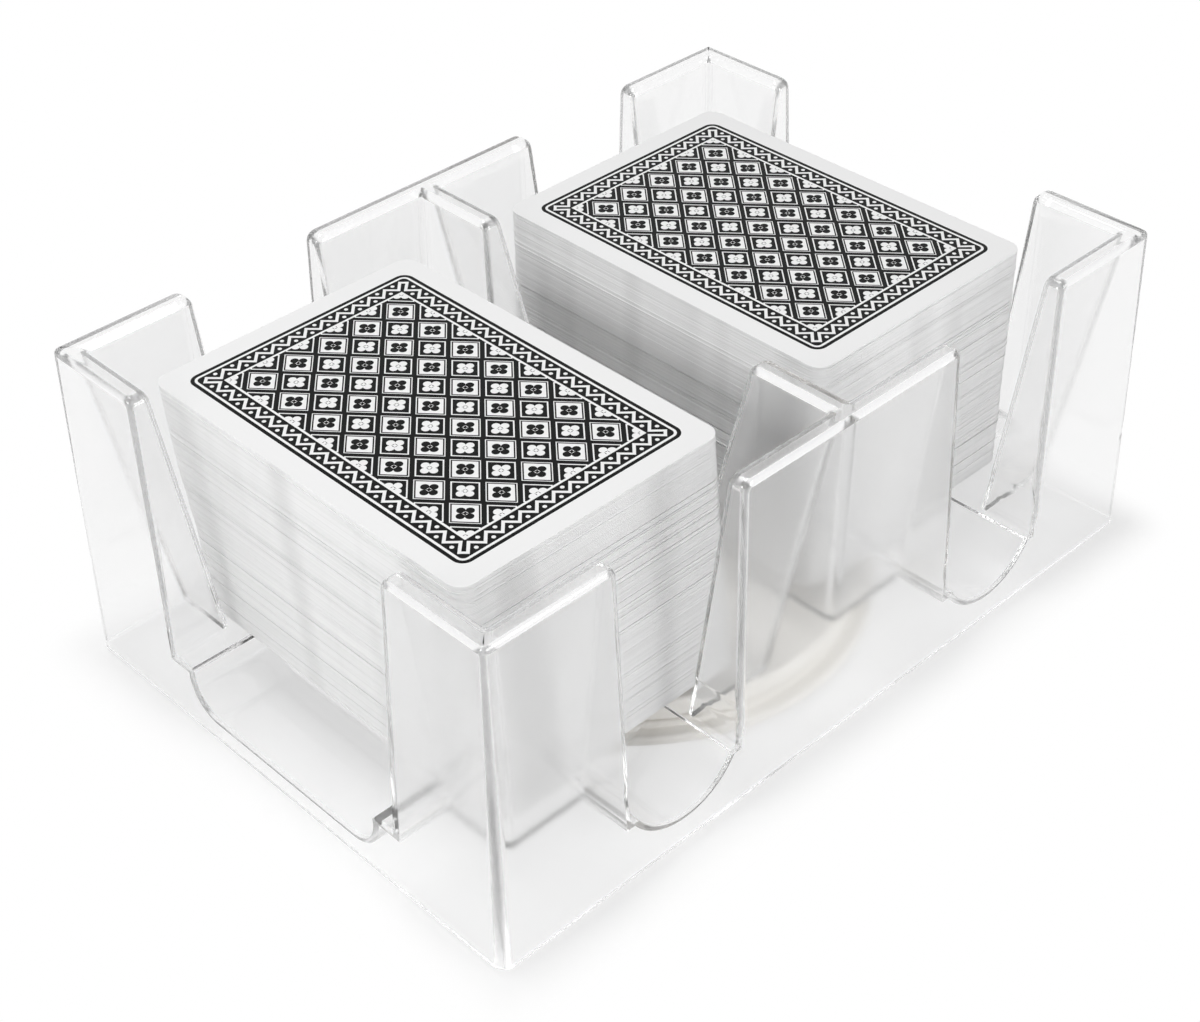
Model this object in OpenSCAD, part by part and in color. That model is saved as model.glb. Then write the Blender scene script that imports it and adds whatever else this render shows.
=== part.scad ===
// Rotating playing card tray: a clear moulded tray with two card wells, on a round turntable.
// Millimetres. The origin is on the table, under the middle of the turntable. X runs along the tray.

/* [Cards] */
// Width of a card
card_w = 63.5; // [56:0.5:70]
// Length of a card
card_l = 88.9; // [80:0.1:100]
// Thickness of a card
card_t = 0.3; // [0.24:0.01:0.4]
// Corner radius of a card
card_r = 3.2; // [2:0.1:5]
// Height of the left stack, with its top card
left_stack_h = 55; // [30:0.5:60]
// Height of the right stack, with its top card
right_stack_h = 53.5; // [30:0.5:60]

/* [Tray] */
// Wall thickness of the clear moulding
wall = 1.2; // [1:0.1:2]
// Clearance on each side of a card at the floor, across its width
side_clear = 2; // [1:0.05:4]
// Clearance at each end of a card at the floor, along its length
end_clear = 4.75; // [2:0.05:8]
// Height of the rim above the taller stack
head_room = 5.5; // [2:0.5:15]
// Width of the rim on top of the posts
rim_w = 4.4; // [3.4:0.1:6]
// Width of the divider fins at the rim
fin_w = 4.4; // [3.4:0.1:6]
// Lean of the inner walls and of the fins' sides, in degrees
inner_slope = 7.6; // [4:0.1:10]
// Draft of the outer walls, in degrees
draft = 1.4; // [0.5:0.1:3]
// Radius of the outer corners at the foot of the skirt
corner_r = 3; // [2.6:0.1:5]
// Depth of solid plastic below the rim, before the hollow of a post starts
rim_cap = 2; // [1.5:0.1:5]
// Radius of the posts' top corners beside a notch
post_r = 2.5; // [1:0.1:4]
// Length of a divider fin at the rim, from the outer wall
fin_reach = 24.8; // [15:0.1:32]
// Lean of the fins' tips, in degrees
fin_tip_slope = 10; // [2:0.5:14]
// Gap between the table and the foot of the skirt
skirt_gap = 1.5; // [0.8:0.1:4]

/* [Finger notches] */
// Width of a long side's notch at the floor
side_notch_w = 28; // [20:0.5:36]
// Distance of a long side's notch outwards from the middle of its well
side_notch_shift = 1.2; // [-2:0.1:2]
// Lean of the notches' sides, in degrees
notch_slope = 1.2; // [0.4:0.1:3]
// Width of a long side's finger scoop at the floor
side_scoop_w = 25; // [16:0.5:30]
// Depth of a long side's finger scoop below the floor
side_scoop_depth = 7.2; // [4:0.1:9]
// Width of a short side's notch at the floor
end_notch_w = 68.6; // [50:0.2:80]
// Width of a short side's finger scoop
end_scoop_w = 56.6; // [40:0.2:66]
// Depth of a short side's finger scoop below the floor
end_scoop_depth = 8.6; // [6.5:0.1:9]
// Radius of the scoop's lower corners on a short side
end_scoop_r = 7; // [3:0.5:7]
// Reach of a short side's scoop under the cards, from the outer wall
end_scoop_reach = 20; // [16:0.5:30]

/* [Turntable] */
// Radius of the upper disc
disc_r = 50; // [42:0.5:54]
// Clearance between the upper disc and the finger scoops
disc_clear = 2; // [1:0.1:4]
// Width of the flange by which the lower disc stands out past the upper one
flange_w = 3; // [1:0.1:5]
// Thickness of that flange
flange_t = 2.4; // [2:0.1:2.6]
// Thickness of the lower disc
base_t = 3.6; // [3:0.1:5]
// Thickness of the lower disc's web, over the ribs
web_t = 2; // [1.6:0.1:2.6]
// Width of the lower disc's outer wall, ribs and foot pads beside a foot
rib_t = 1.6; // [1:0.1:3]
// Number of ribs under the lower disc
rib_count = 8; // [4:1:16]
// Thickness of the upper disc
plate_t = 2.8; // [2.4:0.1:4]
// Gap between the discs
disc_gap = 2.4; // [2:0.1:3]
// Thickness of the lip around the upper disc
lip_t = 1.8; // [1:0.1:3]
// Gap under that lip
lip_gap = 0.6; // [0.4:0.1:1]
// Edge radius of the discs
edge_r = 0.8; // [0.3:0.1:1]
// Diameter of a bearing ball
ball_d = 4; // [3.4:0.1:4.6]
// Number of bearing balls
ball_count = 16; // [8:1:24]
// Distance of the ball ring from the upper disc's edge
race_inset = 10; // [8:0.5:14]
// Running clearance between a ball and its grooves
race_clear = 0.05; // [0.03:0.01:0.1]
// Width of the ball cage
cage_w = 7; // [6:0.1:9]
// Thickness of the ball cage
cage_t = 1.2; // [0.8:0.1:1.6]
// Clearance of a ball in its pocket
pocket_clear = 0.15; // [0.1:0.05:0.3]
// Radius of the hub
hub_r = 7; // [5:0.5:9]
// Running clearance of the hub in the upper disc
hub_clear = 0.05; // [0.02:0.01:0.1]
// End play of the upper disc under the washer
hub_play = 0.15; // [0.1:0.05:0.4]

/* [Fasteners and feet] */
// Diameter of the pivot screw
pivot_d = 3; // [2.5:0.1:4]
// Length of the pivot screw below its head
pivot_l = 7; // [5:0.5:8]
// Diameter of the pivot screw's head
pivot_head_d = 6.5; // [5:0.1:9]
// Height of the pivot screw's head
pivot_head_h = 1.7; // [1.2:0.1:2.5]
// Room between the pivot screw's head and the tray's floor
pivot_room = 0.95; // [0.3:0.05:1.5]
// Diameter of the pivot washer
washer_d = 20; // [18:0.5:26]
// Thickness of the pivot washer
washer_t = 0.8; // [0.5:0.1:1.5]
// Diameter of a plate screw
screw_d = 2.9; // [2.2:0.1:3.5]
// Length of a plate screw below its head
screw_l = 4.2; // [3.6:0.1:4.6]
// Diameter of a plate screw's head
screw_head_d = 5.6; // [4.6:0.1:7]
// Height of a plate screw's head
screw_head_h = 1.3; // [0.9:0.1:1.5]
// Number of plate screws
screw_count = 4; // [3:1:6]
// Radius of the circle of plate screws
screw_circle_r = 22; // [18:0.5:26]
// Diameter of a screw boss under the tray's floor
boss_d = 7; // [5.5:0.1:9]
// Clearance around the screws' shanks and heads
screw_clear = 0.15; // [0.05:0.05:0.3]
// Clearance around a screw's thread in its pilot hole
thread_clear = 0.05; // [0.02:0.01:0.1]
// Diameter of a rubber foot
foot_d = 10; // [7:0.5:13]
// Height of a foot below the lower disc
foot_drop = 1.4; // [1:0.1:3]
// Depth of a foot's recess
foot_recess = 0.8; // [0.5:0.1:1]
// Number of feet
foot_count = 4; // [3:1:6]
// Distance of the feet from the upper disc's edge
foot_inset = 12; // [10:0.5:16]

/* [Hidden] */

$fn = 64;
// Overrun of a cut past the face that it opens
over = 1;

// Heights above the table, from the feet up
base_z = foot_drop;
base_top = base_z + base_t;
ball_z = base_top + disc_gap / 2;
plate_z = base_top + disc_gap;
plate_top = plate_z + plate_t;
hub_top = plate_top + hub_play;
pivot_head_z = hub_top + washer_t;
floor_under = pivot_head_z + pivot_head_h + pivot_room;
floor_z = floor_under + wall;
rim_z = floor_z + max(left_stack_h, right_stack_h) + head_room;
tray_h = rim_z - skirt_gap;

// Plan of the tray, from the divider outwards
wall_h = rim_z - floor_z;
well_w = card_w + 2 * side_clear;
well_l = card_l + 2 * end_clear;
fin_half = fin_w / 2 + wall_h * tan(inner_slope);
well_x = fin_half + well_w / 2;
post_t = rim_w + wall_h * (tan(inner_slope) + tan(draft));
skirt_flare = (floor_z - skirt_gap) * tan(draft);
tray_l = 2 * (fin_half + well_w + post_t + skirt_flare);
tray_w = well_l + 2 * (post_t + skirt_flare);
fin_gap = tray_w / 2 - tray_h * tan(draft) - fin_reach - wall_h * tan(fin_tip_slope);

// Finger notches and scoops
notch_x = well_x + side_notch_shift;
scoop_half = side_scoop_w / 2;
scoop_r = (pow(scoop_half, 2) + pow(side_scoop_depth, 2)) / (2 * side_scoop_depth);
scoop_mid_z = floor_z - side_scoop_depth + scoop_r;
scoop_corner_x = notch_x - scoop_half - wall;
scoop_end_y = sqrt(pow(disc_r + disc_clear, 2) - pow(scoop_corner_x, 2)) + wall;

// Turntable
race_r = disc_r - race_inset;
groove_r = ball_d / 2 + race_clear;
hub_wall_r = hub_r + rib_t;
foot_circle_r = disc_r - foot_inset;
first_foot_angle = 45;
screw_seat = screw_head_h + screw_clear;
screw_seat_z = plate_z + screw_seat;

// Where each deck lies in its well, from the lowest up, as shares of the room across and along it
left_lay = [[-0.4, -0.15], [-0.45, 0], [-0.5, 0.15]];
right_lay = [[0.5, 0.74], [0.22, 0.48], [0.15, 0.35]];
decks = len(left_lay);

// Room beside a deck across and along the well, at a height above the floor
function room(h) = [side_clear + h * tan(inner_slope), end_clear + h * tan(inner_slope)];

// Place of deck number k of a stack, with the well on side -1 or 1
function deck_pos(side, lay, stack_h, k) =
    let (h = k * deck_h(stack_h), r = room(h))
    [side * well_x + lay[k][0] * r[0], lay[k][1] * r[1], floor_z + h];

// Height of one deck of a stack, without the top card
function deck_h(stack_h) = (stack_h - card_t) / decks;

// Flat outline with round corners
module rounded_rect(x, y, r) {
    square([x - 2 * r, y], center = true);
    square([x, y - 2 * r], center = true);
    for (sx = [-1, 1], sy = [-1, 1])
        translate([sx * (x / 2 - r), sy * (y / 2 - r)]) circle(r);
}

// Side view of a form whose two sides lean outwards by an angle as they rise
module leaning_view(half, h, lean) {
    top = half + h * tan(lean);
    polygon([[-half, 0], [half, 0], [top, h], [-top, h]]);
}

// Extrudes a side view along Y, from both sides of the middle
module along_y(length) {
    translate([0, length / 2, 0]) rotate([90, 0, 0]) linear_extrude(height = length) children();
}

// Extrudes a side view along X, from both sides of the middle
module along_x(length) {
    translate([-length / 2, 0, 0]) rotate([90, 0, 90]) linear_extrude(height = length) children();
}

// Block with four leaning sides
module drafted_block(x, y, h, lean) {
    reach = max(x, y) + 2 * h;
    intersection() {
        along_y(reach) leaning_view(x / 2, h, lean);
        along_x(reach) leaning_view(y / 2, h, lean);
    }
}

// Copies on a circle about Z
module ring_of(count, radius, first = 0) {
    for (i = [0 : count - 1])
        rotate([0, 0, first + i * 360 / count]) translate([radius, 0, 0]) children();
}

// Outer form of the moulding: sides that lean in as they rise, and coned corners that meet them
module outer_form() {
    flat_x = tray_l - 2 * corner_r;
    flat_y = tray_w - 2 * corner_r;
    translate([0, 0, skirt_gap]) {
        along_y(flat_y) leaning_view(tray_l / 2, tray_h, -draft);
        along_x(flat_x) leaning_view(tray_w / 2, tray_h, -draft);
        for (sx = [-1, 1], sy = [-1, 1]) translate([sx * flat_x / 2, sy * flat_y / 2, 0])
            cylinder(r1 = corner_r, r2 = corner_r - tray_h * tan(draft), h = tray_h);
    }
}

// Inside of the outer walls, from below the skirt to the top of the posts' hollows
module inner_form() {
    bottom = skirt_gap - over;
    in = 2 * (wall / cos(draft) - over * tan(draft));
    translate([0, 0, bottom])
        drafted_block(tray_l - in, tray_w - in, rim_z - rim_cap - bottom, -draft);
}

// Half width of a leaning space, grown by a wall thickness, at its lowered floor
function grown(half, lean, grow) = half + grow / cos(lean) - grow * tan(lean);

// One well, grown by a wall thickness
module well(grow) {
    translate([0, 0, floor_z - grow])
        drafted_block(2 * grown(well_w / 2, inner_slope, grow), 2 * grown(well_l / 2, inner_slope, grow),
            wall_h + grow + over, inner_slope);
}

// Side view of the cuts that round the posts' top corners beside such a slot
module slot_corners(half, lean) {
    mid_z = wall_h - post_r;
    mid_x = half + mid_z * tan(lean) + post_r / cos(lean);
    touch_x = mid_x - post_r * cos(lean);
    touch_z = mid_z + post_r * sin(lean);
    translate([0, floor_z]) for (s = [0, 1]) mirror([s, 0]) difference() {
        translate([touch_x - post_r, touch_z]) square([mid_x - touch_x + post_r, wall_h + over - touch_z]);
        translate([mid_x, mid_z]) circle(post_r);
    }
}

// Notch or gap between two posts: grown by a wall thickness, or as it is, with round top corners
module slot_view(half, lean, grow) {
    translate([0, floor_z - grow])
        leaning_view(grown(half, lean, grow), wall_h + grow + over, lean);
    if (grow == 0) slot_corners(half, lean);
}

// Side view of a short side's scoop: flat bottom with round corners
module end_scoop_view(grow) {
    half = end_scoop_w / 2 + grow;
    r = end_scoop_r + grow;
    bottom = floor_z - end_scoop_depth - grow;
    translate([-half, bottom + r]) square([2 * half, floor_z + over - bottom - r]);
    translate([r - half, bottom]) square([2 * (half - r), r]);
    for (s = [-1, 1]) translate([s * (half - r), bottom + r]) circle(r);
}

// Everything that is open above the floor, grown by a wall thickness
module open_space(grow) {
    side_cut = tray_w / 2 + over - scoop_end_y + grow;
    end_cut = end_scoop_reach + grow + over;
    notch_cut = tray_l / 2 + over - well_x;
    for (s = [-1, 1]) {
        translate([s * well_x, 0, 0]) well(grow);
        translate([s * notch_x, 0, 0]) along_y(tray_w + 2 * over)
            slot_view(side_notch_w / 2, notch_slope, grow);
        for (t = [-1, 1])
            translate([s * notch_x, t * (scoop_end_y - grow + side_cut / 2), scoop_mid_z])
                along_y(side_cut) circle(scoop_r + grow);
        translate([s * (well_x + notch_cut / 2), 0, 0]) along_x(notch_cut)
            slot_view(end_notch_w / 2, notch_slope, grow);
        translate([s * (tray_l / 2 + over - end_cut / 2), 0, 0]) along_x(end_cut) end_scoop_view(grow);
    }
    along_x(2 * well_x) slot_view(fin_gap, fin_tip_slope, grow);
}

// Clear moulding: an even wall around the open space, hollow from below inside its posts and fins
module tray_shell() {
    color([0.9, 0.95, 1, 0.35]) {
        difference() {
            outer_form();
            open_space(0);
            difference() {
                inner_form();
                open_space(wall);
            }
        }
        ring_of(screw_count, screw_circle_r) translate([0, 0, plate_top]) screw_boss();
    }
}

// Boss under the tray's floor with its pilot hole
module screw_boss() {
    difference() {
        cylinder(d = boss_d, h = floor_under - plate_top + wall / 2);
        translate([0, 0, -over])
            cylinder(d = screw_d + 2 * thread_clear, h = over + floor_under - plate_top);
    }
}

// Half section of a disc with its outer edges rounded
module disc_section(r, t) {
    square([r - edge_r, t]);
    translate([0, edge_r]) square([r, t - 2 * edge_r]);
    for (z = [edge_r, t - edge_r]) translate([r - edge_r, z]) circle(edge_r);
}

// Groove for the balls
module ball_groove() {
    translate([0, 0, ball_z]) rotate_extrude() translate([race_r, 0]) circle(groove_r);
}

// Upper disc: lip around the ball ring, bore on the hub, recessed screw holes
module turntable_plate() {
    lip_z = base_top + lip_gap;
    color("whitesmoke") difference() {
        translate([0, 0, lip_z]) rotate_extrude() disc_section(disc_r, plate_top - lip_z);
        translate([0, 0, lip_z - over]) cylinder(r = disc_r - lip_t, h = plate_z - lip_z + over);
        translate([0, 0, plate_z - over]) cylinder(r = hub_r + hub_clear, h = plate_t + 2 * over);
        ball_groove();
        ring_of(screw_count, screw_circle_r) {
            translate([0, 0, plate_z - over])
                cylinder(d = screw_head_d + 2 * screw_clear, h = over + screw_seat);
            translate([0, 0, plate_z]) cylinder(d = screw_d + 2 * screw_clear, h = plate_t + over);
        }
    }
}

// Screws from below, through the upper disc into the tray's bosses
module plate_screws() {
    color("silver") ring_of(screw_count, screw_circle_r) {
        translate([0, 0, screw_seat_z - screw_head_h]) cylinder(d = screw_head_d, h = screw_head_h);
        translate([0, 0, screw_seat_z]) cylinder(d = screw_d, h = screw_l);
    }
}

// Lower disc: flange, ball groove and hub on top, ribs, foot pads and a screwdriver hole below
module turntable_base() {
    recess_h = base_t - web_t;
    recess_r = disc_r - lip_t;
    color("whitesmoke") difference() {
        union() {
            difference() {
                translate([0, 0, base_z]) rotate_extrude() {
                    disc_section(disc_r, base_t);
                    disc_section(disc_r + flange_w, flange_t);
                }
                translate([0, 0, base_z - over]) cylinder(r = recess_r, h = over + recess_h);
            }
            translate([0, 0, base_z]) {
                cylinder(r = hub_wall_r, h = recess_h + web_t / 2);
                cylinder(r = hub_r, h = hub_top - base_z);
                ring_of(rib_count, 0) translate([0, -rib_t / 2, 0])
                    cube([recess_r + lip_t / 2, rib_t, recess_h + web_t / 2]);
                ring_of(foot_count, foot_circle_r, first_foot_angle)
                    cylinder(d = foot_d + 2 * rib_t, h = recess_h + web_t / 2);
            }
        }
        ball_groove();
        ring_of(foot_count, foot_circle_r, first_foot_angle) translate([0, 0, base_z - over])
            cylinder(d = foot_d, h = over + foot_recess);
        rotate([0, 0, 180 / rib_count]) translate([screw_circle_r, 0, base_z - over])
            cylinder(d = screw_head_d + 2 * screw_clear, h = base_t + 2 * over);
        translate([0, 0, pivot_head_z - pivot_l - screw_clear])
            cylinder(d = pivot_d + 2 * thread_clear, h = pivot_l + over);
    }
}

// Rubber pads, seated in their recesses
module rubber_feet() {
    color("gray") ring_of(foot_count, foot_circle_r, first_foot_angle)
        cylinder(d = foot_d, h = foot_drop + foot_recess);
}

// Screw down the middle of the hub
module pivot_screw() {
    color("silver") {
        translate([0, 0, pivot_head_z]) cylinder(d = pivot_head_d, h = pivot_head_h);
        translate([0, 0, pivot_head_z - pivot_l]) cylinder(d = pivot_d, h = pivot_l);
    }
}

// Washer that keeps the upper disc on its hub
module pivot_washer() {
    color("silver") translate([0, 0, hub_top]) difference() {
        cylinder(d = washer_d, h = washer_t);
        translate([0, 0, -over]) cylinder(d = pivot_d + 2 * screw_clear, h = washer_t + 2 * over);
    }
}

// Ring that spaces the balls
module ball_cage() {
    color("ivory") translate([0, 0, ball_z - cage_t / 2]) difference() {
        cylinder(r = race_r + cage_w / 2, h = cage_t);
        translate([0, 0, -over]) {
            cylinder(r = race_r - cage_w / 2, h = cage_t + 2 * over);
            ring_of(ball_count, race_r) cylinder(d = ball_d + 2 * pocket_clear, h = cage_t + 2 * over);
        }
    }
}

// Steel balls in their grooves
module bearing_balls() {
    color("silver") translate([0, 0, ball_z]) ring_of(ball_count, race_r) sphere(d = ball_d);
}

// Cards of one size, stacked to a height
module cards(h) {
    color("white") linear_extrude(height = h) rounded_rect(card_w, card_l, card_r);
}

// Deck number k of the left stack
module left_deck(k) {
    translate(deck_pos(-1, left_lay, left_stack_h, k)) cards(deck_h(left_stack_h));
}

// Deck number k of the right stack
module right_deck(k) {
    translate(deck_pos(1, right_lay, right_stack_h, k)) cards(deck_h(right_stack_h));
}

// Card on top of the left stack
module left_top_card() {
    translate(deck_pos(-1, left_lay, left_stack_h, decks - 1) + [0, 0, deck_h(left_stack_h)])
        cards(card_t);
}

// Card on top of the right stack
module right_top_card() {
    translate(deck_pos(1, right_lay, right_stack_h, decks - 1) + [0, 0, deck_h(right_stack_h)])
        cards(card_t);
}

tray_shell();
turntable_plate();
plate_screws();
turntable_base();
rubber_feet();
pivot_screw();
pivot_washer();
ball_cage();
bearing_balls();
left_deck(0);  // left_deck_lower
left_deck(1);  // left_deck_middle
left_deck(2);  // left_deck_upper
left_top_card();
right_deck(0);  // right_deck_lower
right_deck(1);  // right_deck_middle
right_deck(2);  // right_deck_upper
right_top_card();
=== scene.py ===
"""Looks of a rotating playing card tray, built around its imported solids.

Sizes in the classes are in millimetres, as on a drawing, and meshes are in metres.
"""

import logging
import math
from collections.abc import Callable, Iterator
from dataclasses import dataclass
from enum import Enum
from functools import cache
from typing import Any

import bmesh
import bpy
from bmesh.types import BMEdge, BMFace, BMVert, BMesh
from bpy.types import ID, Material, Mesh, Node, NodeSocket, NodeTree, Object
from mathutils import Matrix, Quaternion, Vector


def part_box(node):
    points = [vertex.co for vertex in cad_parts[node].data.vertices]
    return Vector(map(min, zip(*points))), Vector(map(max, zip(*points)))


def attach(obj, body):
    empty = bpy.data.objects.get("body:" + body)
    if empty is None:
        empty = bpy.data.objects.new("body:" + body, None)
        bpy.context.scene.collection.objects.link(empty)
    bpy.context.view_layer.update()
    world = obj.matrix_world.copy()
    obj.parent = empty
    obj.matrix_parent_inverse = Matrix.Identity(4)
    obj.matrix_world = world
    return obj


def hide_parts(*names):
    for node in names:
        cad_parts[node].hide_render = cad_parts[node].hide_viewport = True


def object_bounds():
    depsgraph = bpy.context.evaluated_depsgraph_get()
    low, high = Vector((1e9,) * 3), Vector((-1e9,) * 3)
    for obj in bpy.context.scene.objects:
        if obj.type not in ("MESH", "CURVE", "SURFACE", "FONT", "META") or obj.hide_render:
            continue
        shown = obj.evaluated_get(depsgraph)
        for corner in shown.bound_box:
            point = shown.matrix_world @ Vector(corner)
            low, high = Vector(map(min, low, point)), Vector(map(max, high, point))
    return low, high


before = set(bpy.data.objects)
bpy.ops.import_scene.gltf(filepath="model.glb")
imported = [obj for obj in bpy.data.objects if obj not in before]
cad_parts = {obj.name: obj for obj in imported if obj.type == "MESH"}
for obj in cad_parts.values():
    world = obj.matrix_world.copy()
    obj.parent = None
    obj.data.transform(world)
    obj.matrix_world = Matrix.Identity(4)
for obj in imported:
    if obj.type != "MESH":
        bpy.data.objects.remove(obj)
CAD_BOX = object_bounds()
MM = 0.001
CARD_MAP = "card"
TONE = "card_tone"
WHITE = "#ffffff"
BLACK = "#000000"
# Distance under which points are one, and mean width of a face that is too thin to show, in metres
MERGED = 1e-6
SLIVER = 1e-6
# Bend up to which neighbouring faces are one flat, in degrees
FLAT_DEG = 0.3
# Upward part of a normal from which a face looks up
LOOKS_UP = 0.5
# Odd power that keeps most random slips small
RARE = 9
# Weight at which only the largest face at a point sets its normal
LARGEST_ONLY = 100
log = logging.getLogger("card_tray")


def linear(colour: str) -> tuple[float, float, float, float]:
    """Turns an sRGB hex colour into linear light.

    Args:
        colour: the colour as "#rrggbb".

    Returns:
        Red, green, blue and an alpha of 1.
    """
    shares = [int(colour[i : i + 2], 16) / 255 for i in (1, 3, 5)]
    return (*(s / 12.92 if s <= 0.04045 else ((s + 0.055) / 1.055) ** 2.4 for s in shares), 1.0)


def add(tree: NodeTree, kind: str, feeds: dict[int | str, Any] | None = None, **settings: Any) -> Node:
    """Adds a node to a tree, with its settings and links.

    Args:
        tree: the shader or geometry tree.
        kind: the node's type.
        feeds: for each input, by name or number, a value, a socket, or a node whose first output it takes.
        settings: the node's own properties.

    Returns:
        The new node.
    """
    node = tree.nodes.new(kind)
    for name, value in settings.items():
        setattr(node, name, value)
    for key, value in (feeds or {}).items():
        source = value.outputs[0] if isinstance(value, Node) else value
        if isinstance(source, NodeSocket):
            tree.links.new(source, node.inputs[key])
        else:
            node.inputs[key].default_value = source
    return node


def noise(tree: NodeTree, place: Any, size_mm: float, detail: float) -> Node:
    """Adds a noise with features of a real size.

    Args:
        tree: the shader tree.
        place: what gives the place, in metres.
        size_mm: size of the features, in millimetres.
        detail: number of finer layers.

    Returns:
        The noise.
    """
    return add(tree, "ShaderNodeTexNoise", {"Vector": place, "Scale": 1 / (size_mm * MM), "Detail": detail})


def relief(tree: NodeTree, height: Node, depth_mm: float) -> Node:
    """Adds the relief that a pattern makes, at its depth in millimetres."""
    return add(tree, "ShaderNodeBump", {"Height": height, "Distance": depth_mm * MM})


def blend(tree: NodeTree, share: Any, first: Any, second: Any) -> NodeSocket:
    """Mixes two colours.

    Args:
        tree: the shader tree.
        share: share of the second colour.
        first: the first colour.
        second: the second colour.

    Returns:
        The mixed colour.
    """
    return add(tree, "ShaderNodeMix", {0: share, 6: first, 7: second}, data_type="RGBA").outputs[2]


@dataclass(frozen=True)
class Sum:
    """A number that shader nodes work out, to reckon with as with plain numbers."""

    tree: NodeTree
    source: Node | NodeSocket

    def by(self, operation: str, *others: "Sum | float") -> "Sum":
        """Adds a node that works on this number and others, and gives its result."""
        feeds = {i: part.source if isinstance(part, Sum) else part for i, part in enumerate((self, *others))}
        return Sum(self.tree, add(self.tree, "ShaderNodeMath", feeds, operation=operation))

    def __add__(self, other: "Sum | float") -> "Sum":
        """Adds a number."""
        return self.by("ADD", other)

    def __sub__(self, other: "Sum | float") -> "Sum":
        """Takes a number away."""
        return self.by("SUBTRACT", other)

    def __mul__(self, other: "Sum | float") -> "Sum":
        """Multiplies by a number."""
        return self.by("MULTIPLY", other)

    def __abs__(self) -> "Sum":
        """Drops the sign."""
        return self.by("ABSOLUTE")


class Finish:
    """Base of the finishes. A finish has a name and gives its shader."""

    name: str

    def surface(self, tree: NodeTree) -> Node:
        """Builds the finish in a tree and returns its last shader node."""
        raise NotImplementedError

    def inside(self, tree: NodeTree) -> Node | None:
        """Builds what light meets inside the piece, where it matters."""
        return None

    def material(self) -> Material:
        """Gives the finish's material, made on first use.

        Returns:
            The material.
        """
        made = bpy.data.materials.get(self.name)
        if made is None:
            made = bpy.data.materials.new(self.name)
            made.use_nodes = True
            tree = made.node_tree
            tree.nodes.clear()
            feeds = {"Surface": self.surface(tree), "Volume": self.inside(tree)}
            add(tree, "ShaderNodeOutputMaterial", {key: node for key, node in feeds.items() if node})
        return made


@dataclass(frozen=True)
class ClearPolystyrene(Finish):
    """Clear polystyrene, injection moulded and polished by the mould.

    It shows what lies behind it almost unchanged, its rounded edges gather the light of the room, and long
    ways through the plastic turn grey. A wall that light only grazes keeps it back and throws a shadow. A
    faint ripple from the flow of the plastic bends the reflections.
    """

    name: str = "clear_polystyrene_moulded"
    tint: str = "#fefefe"
    ior: float = 1.59
    polish: float = 0.1
    head_on_loss: float = 0.02
    graze_power: float = 5.0
    ripple_mm: float = 16.0
    ripple_depth_mm: float = 0.005
    smoke: str = "#3c4042"
    smoke_per_metre: float = 4.0

    def surface(self, tree: NodeTree) -> Node:
        """Builds a refracting plastic that lets the light of the lamps through."""
        place = add(tree, "ShaderNodeTexCoord").outputs["Object"]
        plastic = add(
            tree,
            "ShaderNodeBsdfPrincipled",
            {
                "Base Color": linear(self.tint),
                "Roughness": self.polish,
                "IOR": self.ior,
                "Transmission Weight": 1.0,
                "Normal": relief(tree, noise(tree, place, self.ripple_mm, 1.0), self.ripple_depth_mm),
            },
        )
        rays = add(tree, "ShaderNodeLightPath").outputs
        either = {0: rays["Is Shadow Ray"], 1: rays["Is Diffuse Ray"]}
        lamp_ray = add(tree, "ShaderNodeMath", either, operation="MAXIMUM")
        facing = add(tree, "ShaderNodeLayerWeight").outputs["Facing"]
        grazing = add(tree, "ShaderNodeMath", {0: facing, 1: self.graze_power}, operation="POWER")
        loss = add(
            tree,
            "ShaderNodeMath",
            {0: grazing, 1: 1 - self.head_on_loss, 2: self.head_on_loss},
            operation="MULTIPLY_ADD",
        )
        left = blend(tree, loss, linear(self.tint), linear(BLACK))
        passing = add(tree, "ShaderNodeBsdfTransparent", {"Color": left})
        return add(tree, "ShaderNodeMixShader", {0: lamp_ray, 1: plastic, 2: passing})

    def inside(self, tree: NodeTree) -> Node:
        """Builds the slight grey of the plastic itself."""
        smoke = {"Color": linear(self.smoke), "Density": self.smoke_per_metre}
        return add(tree, "ShaderNodeVolumeAbsorption", smoke)


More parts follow.
